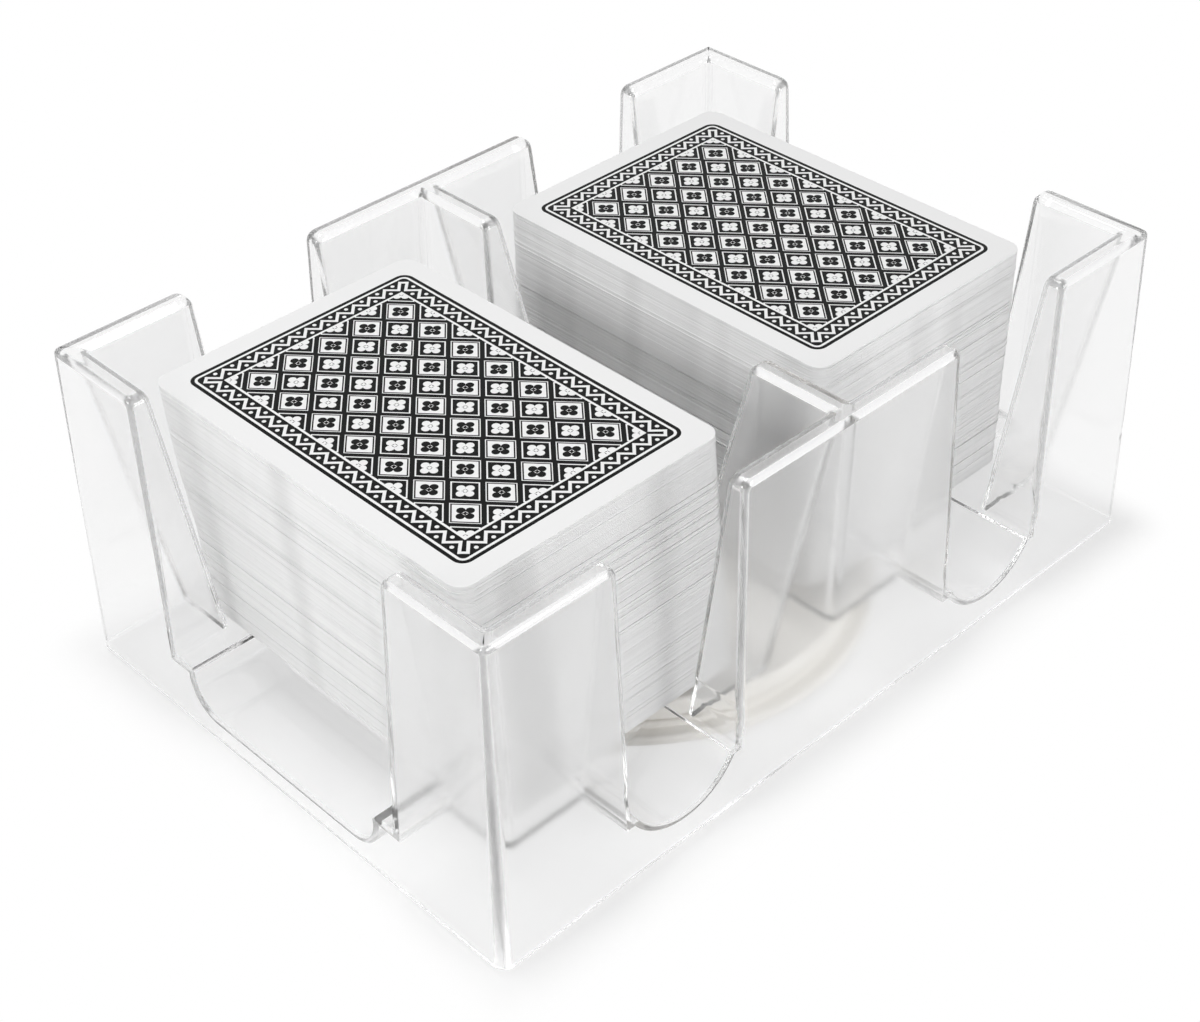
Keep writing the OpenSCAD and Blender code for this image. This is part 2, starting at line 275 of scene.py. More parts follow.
@dataclass(frozen=True)
class CutCardStock(Finish):
    """Coated card, cut by a die: white paper fibre.

    Each card's edge is a little lighter or darker than the next, and painted shade lays faint grey upright
    stripes on the stack.
    """

    name: str = "cut_card_stock"
    light: str = "#eeeeee"
    dark: str = "#e7e7e7"
    # Painted shade: grey of the darker upright stripes on the stack's sides, their width, strength, and where
    # they start and are full
    band: str = "#c3c3c3"
    shade_band_mm: float = 13.0
    shade_band_share: float = 0.45
    shade_band_starts: float = 0.5
    shade_band_full: float = 0.75
    fibre_mm: float = 0.35
    fibre_depth_mm: float = 0.02
    roughness: float = 0.6
    ior: float = 1.45

    def surface(self, tree: NodeTree) -> Node:
        """Builds matt paper whose colour follows each card's own tone, with upright stripes of painted shade.
        """
        tone = add(tree, "ShaderNodeAttribute", attribute_name=TONE).outputs["Fac"]
        paper = blend(tree, tone, linear(self.dark), linear(self.light))
        place = add(tree, "ShaderNodeTexCoord").outputs["Object"]
        # Painted shade: a noise stretched upright darkens stripes of the stack's sides
        per_shade_band = 1 / (self.shade_band_mm * MM)
        upright = add(tree, "ShaderNodeMapping", {"Vector": place, "Scale": (per_shade_band, per_shade_band, 0)})
        shade_bands = add(tree, "ShaderNodeTexNoise", {"Vector": upright, "Scale": 1.0, "Detail": 1.0})
        painted_shade = add(
            tree,
            "ShaderNodeMapRange",
            {
                "Value": shade_bands,
                "From Min": self.shade_band_starts,
                "From Max": self.shade_band_full,
                "To Max": self.shade_band_share,
            },
        )
        return add(
            tree,
            "ShaderNodeBsdfPrincipled",
            {
                "Base Color": blend(tree, painted_shade, paper, linear(self.band)),
                "Roughness": self.roughness,
                "IOR": self.ior,
                "Normal": relief(tree, noise(tree, place, self.fibre_mm, 2.0), self.fibre_depth_mm),
            },
        )


@dataclass(frozen=True)
class PrintedBack(Finish):
    """Coated card, printed in black and calendered.

    White paper with a dense black print: a rule, a zigzag band and a harlequin field with small quatrefoils.
    Both are nearly matt, so that the ink stays black, and the ink shines a little more than the paper.
    """

    name: str = "printed_card_back"
    paper: str = "#ededed"
    ink: str = "#0a0a0a"
    paper_roughness: float = 0.45
    ink_roughness: float = 0.36
    shine: float = 0.1
    ior: float = 1.45
    card_w: float = 63.5
    card_l: float = 88.9
    border: float = 4.6
    frame_r: float = 2.4
    rule_w: float = 0.8
    band_from: float = 1.35
    band_to: float = 5.2
    field_from: float = 5.7
    zigzags_wide: int = 12
    zigzags_long: int = 18
    zigzag_rise: float = 1.05
    zigzag_half: float = 0.46
    dot_at: float = 0.95
    dot_r: float = 0.42
    lozenge_w: float = 8.5
    lozenge_l: float = 9.7
    line_at: float = 0.39
    line_half: float = 0.022
    grid_from: float = 0.44
    petal_at: float = 1.15
    petal_r: float = 0.82
    eye_r: float = 0.48
    sheen_mm: float = 0.9
    sheen_depth_mm: float = 0.012

    def inked(self, x: Sum, y: Sum) -> Sum:
        """Works out the print.

        Args:
            x: place across the card, from its middle.
            y: place along the card, from its middle.

        Returns:
            1 where there is ink, and 0 on bare paper.
        """
        half_w = self.card_w / 2 - self.border
        half_l = self.card_l / 2 - self.border
        # Depth inside the frame's rounded outline
        qx = abs(x) - (half_w - self.frame_r)
        qy = abs(y) - (half_l - self.frame_r)
        ox, oy = qx.by("MAXIMUM", 0.0), qy.by("MAXIMUM", 0.0)
        outside = (ox * ox + oy * oy).by("SQRT") + qx.by("MAXIMUM", qy).by("MINIMUM", 0.0)
        depth = outside * -1.0 + self.frame_r
        rule = depth.by("COMPARE", self.rule_w / 2, self.rule_w / 2)
        field = depth.by("GREATER_THAN", self.field_from)
        # Band with a zigzag and dots
        band_mid = (self.band_from + self.band_to) / 2
        band = depth.by("COMPARE", band_mid, band_mid - self.band_from)
        off = depth - band_mid
        beat_wide = self.zigzags_wide / (half_w - band_mid)
        beat_long = self.zigzags_long / (half_l - band_mid)
        upright = qx.by("GREATER_THAN", qy)
        beat = upright * (y * beat_long - x * beat_wide) + x * beat_wide
        crest = beat.by("PINGPONG", 1.0) * (2 * self.zigzag_rise) - self.zigzag_rise
        zigzag = off.by("COMPARE", crest, self.zigzag_half)
        number = beat.by("ROUND")
        along = (beat - number) * (2 / (beat_wide + beat_long))
        rise = off - (number.by("FLOORED_MODULO", 2.0) * (-2 * self.dot_at) + self.dot_at)
        dot = (along * along + rise * rise).by("LESS_THAN", self.dot_r**2)
        band_ink = (band - zigzag.by("MAXIMUM", dot)).by("MAXIMUM", 0.0)
        # Lozenges of the field, each with a line and a quatrefoil
        across, up = x * (1 / self.lozenge_w), y * (1 / self.lozenge_l)
        u, v = across + up, across - up
        iu, iv = u.by("ROUND"), v.by("ROUND")
        fu, fv = u - iu, v - iv
        ring = abs(fu).by("MAXIMUM", abs(fv))
        line = ring.by("COMPARE", self.line_at, self.line_half)
        lx, ly = (fu + fv) * (self.lozenge_w / 2), (fu - fv) * (self.lozenge_l / 2)
        near = abs(lx).by("MINIMUM", abs(ly))
        far = abs(lx).by("MAXIMUM", abs(ly)) - self.petal_at
        petal = (near * near + far * far).by("LESS_THAN", self.petal_r**2)
        eye = (lx * lx + ly * ly).by("LESS_THAN", self.eye_r**2)
        mark = line.by("MAXIMUM", abs(petal - eye))
        tile = abs((iu + iv).by("FLOORED_MODULO", 2.0) - mark)
        grid = ring.by("GREATER_THAN", self.grid_from)
        return rule + band_ink + field * tile.by("MAXIMUM", grid)

    def surface(self, tree: NodeTree) -> Node:
        """Builds the print from the card's own flat map, in millimetres from its middle."""
        flat = add(tree, "ShaderNodeUVMap", uv_map=CARD_MAP)
        half = self.card_l / 2
        place = add(
            tree,
            "ShaderNodeMapping",
            {"Vector": flat, "Location": (-half, -half, 0), "Scale": (self.card_l, self.card_l, 0)},
        )
        split = add(tree, "ShaderNodeSeparateXYZ", {0: place}).outputs
        ink = self.inked(Sum(tree, split["X"]), Sum(tree, split["Y"])).source
        gloss = add(
            tree,
            "ShaderNodeMapRange",
            {"Value": ink, "To Min": self.paper_roughness, "To Max": self.ink_roughness},
        )
        sheen = add(
            tree, "ShaderNodeTexNoise", {"Vector": place, "Scale": 1 / self.sheen_mm, "Detail": 2.0}
        )
        return add(
            tree,
            "ShaderNodeBsdfPrincipled",
            {
                "Base Color": blend(tree, ink, linear(self.paper), linear(self.ink)),
                "Roughness": gloss,
                "IOR": self.ior,
                "Specular IOR Level": self.shine,
                "Normal": relief(tree, sheen, self.sheen_depth_mm),
            },
        )


@dataclass(frozen=True)
class MottledFinish(Finish):
    """An opaque material of one colour, with a soft mottle, an uneven gloss and a fine grain."""

    name: str
    colour: str
    mottle: str
    mottle_mm: float
    roughness: float
    roughness_spread: float
    grain_mm: float
    grain_depth_mm: float

    def nature(self) -> dict[str, float]:
        """Gives the shader inputs that tell a plastic from a metal."""
        raise NotImplementedError

    def surface(self, tree: NodeTree) -> Node:
        """Builds the mottle, the grain and the uneven gloss."""
        place = add(tree, "ShaderNodeTexCoord").outputs["Object"]
        cloud = noise(tree, place, self.mottle_mm, 3.0)
        gloss = add(
            tree,
            "ShaderNodeMapRange",
            {
                "Value": cloud,
                "To Min": self.roughness - self.roughness_spread,
                "To Max": self.roughness + self.roughness_spread,
            },
        )
        return add(
            tree,
            "ShaderNodeBsdfPrincipled",
            {
                "Base Color": blend(tree, cloud, linear(self.colour), linear(self.mottle)),
                "Roughness": gloss,
                "Normal": relief(tree, noise(tree, place, self.grain_mm, 2.0), self.grain_depth_mm),
                **self.nature(),
            },
        )


@dataclass(frozen=True)
class GrainedMoulding(MottledFinish):
    """A moulded plastic or rubber, with the grain of its mould."""

    ior: float = 1.53

    def nature(self) -> dict[str, float]:
        """Gives the plastic's index of refraction."""
        return {"IOR": self.ior}


@dataclass(frozen=True)
class FinishedSteel(MottledFinish):
    """Steel with a ground or plated surface: bright metal with fine marks."""

    def nature(self) -> dict[str, float]:
        """Makes it a metal."""
        return {"Metallic": 1.0}


# Warm white, with the satin of a lightly textured mould
WHITE_ABS = GrainedMoulding("white_abs_satin", "#fbf9f5", "#f4f1eb", 12.0, 0.42, 0.06, 0.6, 0.012)
# Creamy and waxy, as undyed nylon is
NATURAL_NYLON = GrainedMoulding("natural_nylon_moulded", "#e6dfc9", "#d9d0b6", 12.0, 0.38, 0.06, 0.8, 0.01)
# Dull dark grey that hardly reflects
GREY_RUBBER = GrainedMoulding("grey_rubber_moulded", "#48484a", "#3e3e40", 4.0, 0.75, 0.06, 0.4, 0.02, 1.5)
# Mirror-bright, ground and polished balls
BALL_STEEL = FinishedSteel("bearing_steel_ground", "#d2d3d6", "#c4c5c9", 3.0, 0.08, 0.03, 0.5, 0.0005)
# Cool, slightly cloudy silver of zinc plate
ZINC_STEEL = FinishedSteel("zinc_plated_steel", "#c2c6cb", "#a4a9b0", 3.0, 0.32, 0.1, 0.25, 0.004)


def seen_ray(tree: NodeTree) -> NodeSocket:
    """Builds the test for a ray that shows the backdrop, straight or through the plastic.

    Args:
        tree: a shader tree.

    Returns:
        Socket that is 1 for such a ray.
    """
    rays = add(tree, "ShaderNodeLightPath").outputs
    seen = rays["Is Camera Ray"]
    for kind in ("Is Glossy Ray", "Is Transmission Ray"):
        seen = add(tree, "ShaderNodeMath", {0: seen, 1: rays[kind]}, operation="MAXIMUM").outputs[0]
    return seen


@dataclass(frozen=True)
class WhiteSweep(Finish):
    """Matt white paper of the studio floor. It keeps the shadow near the object, and further out is white."""

    name: str = "white_sweep"
    colour: str = "#fafafa"
    glow: float = 0.6
    shadow_reach: float = 12.5

    def surface(self, tree: NodeTree) -> Node:
        """Builds paper that looks the whiter the further it lies from the object."""
        place = add(tree, "ShaderNodeTexCoord").outputs["Object"]
        folded = add(tree, "ShaderNodeVectorMath", {0: place}, operation="ABSOLUTE")
        beyond = add(tree, "ShaderNodeVectorMath", {0: folded, 1: CAD_BOX[1]}, operation="SUBTRACT")
        past = add(tree, "ShaderNodeVectorMath", {0: beyond, 1: (0, 0, 0)}, operation="MAXIMUM")
        away = add(tree, "ShaderNodeVectorMath", {0: past}, operation="LENGTH").outputs["Value"]
        bright = add(
            tree,
            "ShaderNodeMapRange",
            {"Value": away, "From Max": self.shadow_reach * MM, "To Min": self.glow},
            interpolation_type="SMOOTHSTEP",
        )
        share = add(tree, "ShaderNodeMath", {0: seen_ray(tree), 1: bright}, operation="MULTIPLY")
        matt = add(tree, "ShaderNodeBsdfDiffuse", {"Color": linear(self.colour)})
        glow = add(tree, "ShaderNodeEmission", {"Color": linear(WHITE), "Strength": 1.0})
        return add(tree, "ShaderNodeMixShader", {0: share, 1: matt, 2: glow})


class Well(Enum):
    """The two wells, named as the solids are."""

    LEFT = "left"
    RIGHT = "right"


class Deck(Enum):
    """The decks of a stack, from the lowest up."""

    LOWER = "lower"
    MIDDLE = "middle"
    UPPER = "upper"


def linked(name: str, data: ID) -> Object:
    """Puts a new object with the given data into the scene, and returns it."""
    made = bpy.data.objects.new(name, data)
    bpy.context.scene.collection.objects.link(made)
    return made


def piece(name: str, mesh: Mesh, body: str, slot: str, nodes: tuple[str, ...]) -> None:
    """Puts a finished mesh into the scene as a piece of the object.

    Args:
        name: the piece's name.
        mesh: its mesh, in place.
        body: the body that it moves with.
        slot: not used.
        nodes: the solids that it stands for.
    """
    made = linked(name, mesh)
    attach(made, body)
    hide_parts(*nodes)
    log.info("%s: %d faces, rides on %s", name, len(mesh.polygons), body)


def dressed(mesh: Mesh, finish: Finish) -> Mesh:
    """Gives a whole mesh one finish.

    Args:
        mesh: the mesh.
        finish: its finish.

    Returns:
        The same mesh.
    """
    mesh.materials.clear()
    mesh.materials.append(finish.material())
    return mesh


def plain_mesh(maker: Object) -> Mesh:
    """Turns an object with modifiers into a plain mesh and removes the object.

    Args:
        maker: object in the scene whose modifiers shape the mesh.

    Returns:
        The evaluated mesh.
    """
    depsgraph = bpy.context.evaluated_depsgraph_get()
    made = bpy.data.meshes.new_from_object(maker.evaluated_get(depsgraph), depsgraph=depsgraph)
    maker.modifiers.clear()
    bpy.data.objects.remove(maker)
    return made


def mesh_of(name: str, shape: BMesh) -> Mesh:
    """Makes a smooth mesh from a shape and frees the shape.

    Args:
        name: the mesh's name.
        shape: the shape.

    Returns:
        The mesh.
    """
    mesh = bpy.data.meshes.new(name)
    shape.to_mesh(mesh)
    shape.free()
    mesh.polygons.foreach_set("use_smooth", [True] * len(mesh.polygons))
    return mesh


def whole_copy(node: str) -> BMesh:
    """Copies a solid's mesh, with points merged, slivers joined to their neighbours and each flat one face.

    Args:
        node: the solid.

    Returns:
        The copy.
    """
    shape = bmesh.new()
    shape.from_mesh(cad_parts[node].data)
    bmesh.ops.remove_doubles(shape, verts=shape.verts, dist=MERGED)
    longest = {face: max(face.edges, key=BMEdge.calc_length) for face in shape.faces}
    slivers = {edge for face, edge in longest.items() if face.calc_area() < SLIVER * edge.calc_length()}
    bmesh.ops.dissolve_edges(shape, edges=[edge for edge in shape.edges if edge in slivers])
    flat = math.radians(FLAT_DEG)
    bmesh.ops.dissolve_limit(shape, angle_limit=flat, verts=shape.verts, edges=shape.edges)
    return shape


def smooth_copy(node: str, sharp_deg: float = 30.0) -> Mesh:
    """Copies a solid's mesh and shades its roundings smooth and its flats flat.

    Args:
        node: the solid.
        sharp_deg: bend from which an edge stays sharp.

    Returns:
        The copy.
    """
    shape = whole_copy(node)
    for edge in shape.edges:
        edge.smooth = abs(edge.calc_face_angle_signed(0)) < math.radians(sharp_deg)
    maker = linked(node, mesh_of(node, shape))
    maker.modifiers.new("flats", "WEIGHTED_NORMAL").keep_sharp = True
    return plain_mesh(maker)


def narrow(face: BMFace, flat: float = 3.0) -> bool:
    """Tells whether a face is a strip of a rounding, narrower than a flat, in millimetres."""
    return face.calc_area() < flat * MM * max(edge.calc_length() for edge in face.edges)


def rounded_copy(node: str, width: Callable[[BMEdge], float], steps: int, sharp_deg: float = 35.0) -> Mesh:
    """Copies a solid's mesh, rounds its sharp edges and keeps its flats flat.

    Args:
        node: the solid.
        width: gives a sharp edge's rounding, in millimetres; without one it stays sharp.
        steps: faces across a rounding.
        sharp_deg: bend from which an edge is sharp.

    Returns:
        The rounded mesh.
    """
    shape = whole_copy(node)
    share = shape.edges.layers.float.new("bevel_weight_edge")
    sharp = [e for e in shape.edges if abs(e.calc_face_angle_signed(0)) > math.radians(sharp_deg)]
    widths = [width(edge) for edge in sharp]
    for edge in shape.edges:
        edge.smooth = any(narrow(face) for face in edge.link_faces)
    for edge, wide in zip(sharp, widths):
        edge[share] = wide / max(widths)
        edge.smooth = wide > 0
    maker = linked(node, mesh_of(node, shape))
    bevel = maker.modifiers.new("edges", "BEVEL")
    bevel.width = max(widths) * MM
    bevel.segments = steps
    bevel.limit_method = "WEIGHT"
    bevel.use_clamp_overlap = False
    flats = maker.modifiers.new("flats", "WEIGHTED_NORMAL")
    flats.keep_sharp = True
    flats.weight = LARGEST_ONLY
    return plain_mesh(maker)


def lathe(name: str, profile: list[tuple[float, float]], steps: int) -> Mesh:
    """Turns a profile about the upright axis.

    Args:
        name: the mesh's name.
        profile: radius and height of each point, in millimetres, from the lower to the upper end.
        steps: faces round the axis.

    Returns:
        A closed mesh.
    """
    shape = bmesh.new()
    rings = []
    for r, z in profile:
        turns = [2 * math.pi * k / steps for k in range(steps)]
        rings.append([shape.verts.new(Vector((r * math.cos(t), r * math.sin(t), z)) * MM) for t in turns])
    skin(shape, rings)
    return mesh_of(name, shape)


def skin(shape: BMesh, rings: list[list[BMVert]]) -> None:
    """Closes a stack of rings, from the lowest up, into a solid.

    Args:
        shape: the shape that holds them.
        rings: points of each ring, anticlockwise from above.
    """
    for low, high in zip(rings, rings[1:]):
        for k in range(len(low)):
            j = (k + 1) % len(low)
            shape.faces.new([low[k], low[j], high[j], high[k]])
    shape.faces.new(reversed(rings[0]))
    shape.faces.new(rings[-1])


def geometry_tree(name: str, inputs: dict[str, str]) -> tuple[NodeTree, Node]:
    """Starts a geometry tree with named inputs.

    Args:
        name: the tree's name.
        inputs: each input's name and socket type.

    Returns:
        The tree and the node that gives its inputs.
    """
    tree = bpy.data.node_groups.new(name, "GeometryNodeTree")
    for label, kind in inputs.items():
        tree.interface.new_socket(label, in_out="INPUT", socket_type=kind)
    tree.interface.new_socket("Geometry", in_out="OUTPUT", socket_type="NodeSocketGeometry")
    return tree, add(tree, "NodeGroupInput")


def grow(tree: NodeTree, item: Mesh, values: dict[str, Any]) -> Mesh:
    """Runs a geometry tree on a mesh.

    Args:
        tree: the tree.
        item: mesh that the tree repeats.
        values: value of each named input.

    Returns:
        The result as a plain mesh.
    """
    maker = linked(tree.name, item)
    modifier = maker.modifiers.new(tree.name, "NODES")
    modifier.node_group = tree
    for socket in tree.interface.items_tree:
        if socket.in_out == "INPUT" and socket.name in values:
            modifier[socket.identifier] = values[socket.name]
    made = plain_mesh(maker)
    for number in reversed([i for i, material in enumerate(made.materials) if material is None]):
        made.materials.pop(index=number)
    return made


@dataclass
class Tray:
    """The clear moulding, with the edges of its rim and posts rounded."""

    rim_r: float = 1.4
    steps: int = 4
    slack: float = 0.5

    def build(self) -> None:
        """Makes the moulding from its solid."""
        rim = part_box("tray_shell")[1].z - self.slack * MM
        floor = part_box("left_deck_lower")[0].z + self.slack * MM

        def width(edge: BMEdge) -> float:
            """Gives the rim and the posts' outer edges the rounding, and leaves the others sharp."""
            low, high = sorted(v.co.z for v in edge.verts)
            post = edge.is_convex and (low + high) / 2 > floor
            return self.rim_r if post or high > rim else 0.0

        mesh = dressed(rounded_copy("tray_shell", width, self.steps), ClearPolystyrene())
        piece("tray_moulding", mesh, "tray", "clear_plastic", ("tray_shell",))


@dataclass
class CardStack:
    """The cards in one well: three decks, squared up by hand, and the card on top."""

    well: Well
    cards: int = 56
    corner_r: float = 3.2
    corner_steps: int = 4
    air: float = 0.015
    slip: float = 0.2
    packet: int = 14
    packet_slip: float = 0.08
    turn_deg: float = 0.06

    def card(self, size: Vector, steps: int) -> Mesh:
        """Makes one card on the origin.

        Args:
            size: its width, length and thickness, in metres.
            steps: faces round a corner.

        Returns:
            Mesh with a flat map of the whole card.
        """
        r = self.corner_r * MM
        outline = []
        for i, (sx, sy) in enumerate([(1, 1), (-1, 1), (-1, -1), (1, -1)]):
            centre = Vector((sx * (size.x / 2 - r), sy * (size.y / 2 - r), 0))
            for k in range(steps + 1):
                turn = (i + k / steps) * math.pi / 2
                outline.append(centre + Vector((math.cos(turn), math.sin(turn), 0)) * r)
        shape = bmesh.new()
        skin(shape, [[shape.verts.new(p + Vector((0, 0, z))) for p in outline] for z in (0, size.z)])
        flat = shape.loops.layers.uv.new(CARD_MAP)
        for loop in (loop for face in shape.faces for loop in face.loops):
            place = loop.vert.co / size.y
            loop[flat].uv = (place.x + 0.5, place.y + 0.5)
        mesh = mesh_of("card", shape)
        mesh.polygons.foreach_set("use_smooth", [abs(p.normal.z) < LOOKS_UP for p in mesh.polygons])
        return mesh

    @staticmethod
    @cache
    def deck_tree() -> NodeTree:
        """Builds the tree that stacks copies of a card, made on first use.

        Returns:
            The tree.
        """
        tree, given = geometry_tree(
            "deck_of_cards",
            {
                "Card": "NodeSocketGeometry",
                "Count": "NodeSocketInt",
                "Pitch": "NodeSocketFloat",
                "Foot": "NodeSocketVector",
                "Lean": "NodeSocketVector",
                "Slip": "NodeSocketVector",
                "Packet": "NodeSocketInt",
                "Packet Slip": "NodeSocketVector",
                "Turn": "NodeSocketVector",
                "Seed": "NodeSocketInt",
                "Edge": "NodeSocketMaterial",
                "Back": "NodeSocketMaterial",
            },
        )
        inlet = given.outputs

        def chance(which: Node) -> Node:
            """Adds a random vector, with parts from -1 to 1, for each number."""
            feeds = {0: (-1, -1, -1), 1: (1, 1, 1), "ID": which, "Seed": inlet["Seed"]}
            return add(tree, "FunctionNodeRandomValue", feeds, data_type="FLOAT_VECTOR")

        rise = add(tree, "ShaderNodeCombineXYZ", {"Z": inlet["Pitch"]})
        way = {"Count": inlet["Count"], "Start Location": inlet["Foot"], "Offset": rise}
        line = add(tree, "GeometryNodeMeshLine", way)
        number = add(tree, "GeometryNodeInputIndex")
        share = add(tree, "ShaderNodeMath", {0: number, 1: inlet["Count"]}, operation="DIVIDE")
        lean = add(tree, "ShaderNodeVectorMath", {0: inlet["Lean"], "Scale": share}, operation="SCALE")
        batch = add(tree, "ShaderNodeMath", {0: number, 1: inlet["Packet"]}, operation="DIVIDE")
        batch = add(tree, "ShaderNodeMath", {0: batch}, operation="FLOOR")
        moved = lean
        for which, reach in ((number, inlet["Slip"]), (batch, inlet["Packet Slip"])):
            rare = add(tree, "ShaderNodeVectorMath", {0: chance(which), 1: (RARE,) * 3}, operation="POWER")
            step = add(tree, "ShaderNodeVectorMath", {0: rare, 1: reach}, operation="MULTIPLY")
            moved = add(tree, "ShaderNodeVectorMath", {0: moved, 1: step}, operation="ADD")
        placed = add(tree, "GeometryNodeSetPosition", {"Geometry": line, "Offset": moved})
        draw = {"ID": number, "Seed": inlet["Seed"]}
        tone = add(tree, "FunctionNodeRandomValue", draw, data_type="FLOAT").outputs[1]
        toned = add(
            tree,
            "GeometryNodeStoreNamedAttribute",
            {"Geometry": placed, "Name": TONE, "Value": tone},
            data_type="FLOAT",
            domain="POINT",
        )
        turn = add(tree, "ShaderNodeVectorMath", {0: chance(number), 1: inlet["Turn"]}, operation="MULTIPLY")
        laid = {"Points": toned, "Instance": inlet["Card"], "Rotation": turn}
        copies = add(tree, "GeometryNodeInstanceOnPoints", laid)
        solid = add(tree, "GeometryNodeRealizeInstances", {"Geometry": copies})
        edged = add(tree, "GeometryNodeSetMaterial", {"Geometry": solid, "Material": inlet["Edge"]})
        facing = add(tree, "ShaderNodeSeparateXYZ", {0: add(tree, "GeometryNodeInputNormal")}).outputs["Z"]
        upper = add(tree, "FunctionNodeCompare", {0: facing, 1: LOOKS_UP}, operation="GREATER_THAN")
        print_on = {"Geometry": edged, "Selection": upper, "Material": inlet["Back"]}
        backed = add(tree, "GeometryNodeSetMaterial", print_on)
        add(tree, "NodeGroupOutput", {0: backed})
        return tree

    def lean(self, deck: Deck) -> tuple[Vector, Vector]:
        """Works out where a deck's lowest and highest cards lie, so that the decks lean as one stack.

        Args:
            deck: the deck.

        Returns:
            Middle of the deck's foot, and the way from there to the middle of its top.
        """
        order = list(Deck)
        middles = [sum(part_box(f"{self.well.value}_deck_{d.value}"), Vector()) / 2 for d in order]
        at = order.index(deck)
        below = (middles[at] + middles[max(at - 1, 0)]) / 2
        above = (middles[at] + middles[min(at + 1, len(order) - 1)]) / 2
        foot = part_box(f"{self.well.value}_deck_{deck.value}")[0].z
        return Vector((below.x, below.y, foot)), Vector((above.x - below.x, above.y - below.y, 0))

    def build(self) -> None:
        """Makes the decks and the top card."""
        side = self.well.value
        stock = CutCardStock().material()
        back = PrintedBack().material()
        level = Vector((1, 1, 0))
        for number, deck in enumerate(Deck):
            node = f"{side}_deck_{deck.value}"
            low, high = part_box(node)
            pitch = (high.z - low.z) / self.cards
            foot, lean = self.lean(deck)
            size = Vector((high.x - low.x, high.y - low.y, pitch - self.air * MM))
            card = self.card(size, self.corner_steps)
            mesh = grow(
                self.deck_tree(),
                card,
                {
                    "Count": self.cards,
                    "Pitch": pitch,
                    "Foot": foot,
                    "Lean": lean,
                    "Slip": level * self.slip * MM,
                    "Packet": self.packet,
                    "Packet Slip": level * self.packet_slip * MM,
                    "Turn": Vector((0, 0, math.radians(self.turn_deg))),
                    "Seed": number + len(Deck) * list(Well).index(self.well),
                    "Edge": stock,
                    "Back": back,
                },
            )
            piece(f"{side}_cards_{deck.value}", mesh, f"{side}_stack", "card_stock", (node,))
        self.top_card(stock, back)

    def top_card(self, stock: Material, back: Material) -> None:
        """Lays the card that can be drawn on top of the stack.

        Args:
            stock: material of its edges and face.
            back: material of its printed back.
        """
        side = self.well.value
        node = f"{side}_top_card"
        low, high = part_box(node)
        mesh = self.card(high - low, 2 * self.corner_steps)
        middle = (low + high) / 2
        mesh.transform(Matrix.Translation((middle.x, middle.y, low.z)))
        mesh.materials.append(stock)
        mesh.materials.append(back)
        mesh.polygons.foreach_set("material_index", [int(p.normal.z > LOOKS_UP) for p in mesh.polygons])
        tone = mesh.attributes.new(TONE, "FLOAT", "POINT")
        tone.data.foreach_set("value", [1.0] * len(mesh.vertices))
        piece(f"{side}_top_back_printed", mesh, f"{side}_card", "printed_card", (node,))


